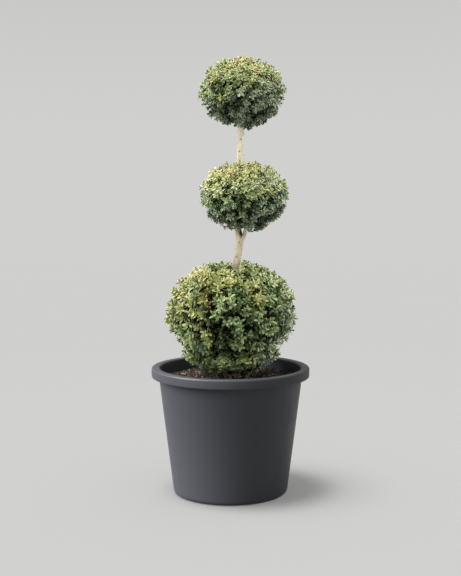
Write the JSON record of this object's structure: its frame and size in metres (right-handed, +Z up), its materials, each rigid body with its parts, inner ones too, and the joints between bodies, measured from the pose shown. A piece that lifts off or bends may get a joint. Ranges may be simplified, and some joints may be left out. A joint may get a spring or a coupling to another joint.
{
  "type": "potted topiary",
  "caption": "Clipped boxwood topiary: stacked leaf balls on a pale forked stem, in a tapered dark grey plastic pot filled with compost, to stand on a patio or by a door.",
  "frame": {"origin": "centre of the pot's flat underside, on the floor", "axes": "+Z up along the pot's axis, -Y towards the picture's viewer, +X to the viewer's right"},
  "size_m": [0.4, 0.4, 1.0948],
  "materials": {
    "pot": "smooth matt charcoal grey",
    "compost": "rough crumbly brown",
    "bark": "pale matt bark with small dark scars",
    "foliage": "satin leaves, olive to yellow-green"
  },
  "bodies": {
    "root": {"pot": "pot", "soil": "compost", "trunk": "bark", "fork_bough": "bark", "basal_stem_1": "bark", "basal_stem_2": "bark", "basal_stem_3": "bark", "basal_stem_4": "bark", "basal_stem_5": "bark", "basal_stem_6": "bark", "lower_ball": "foliage", "middle_ball": "foliage", "upper_ball": "foliage"}
  },
  "joints": []
}
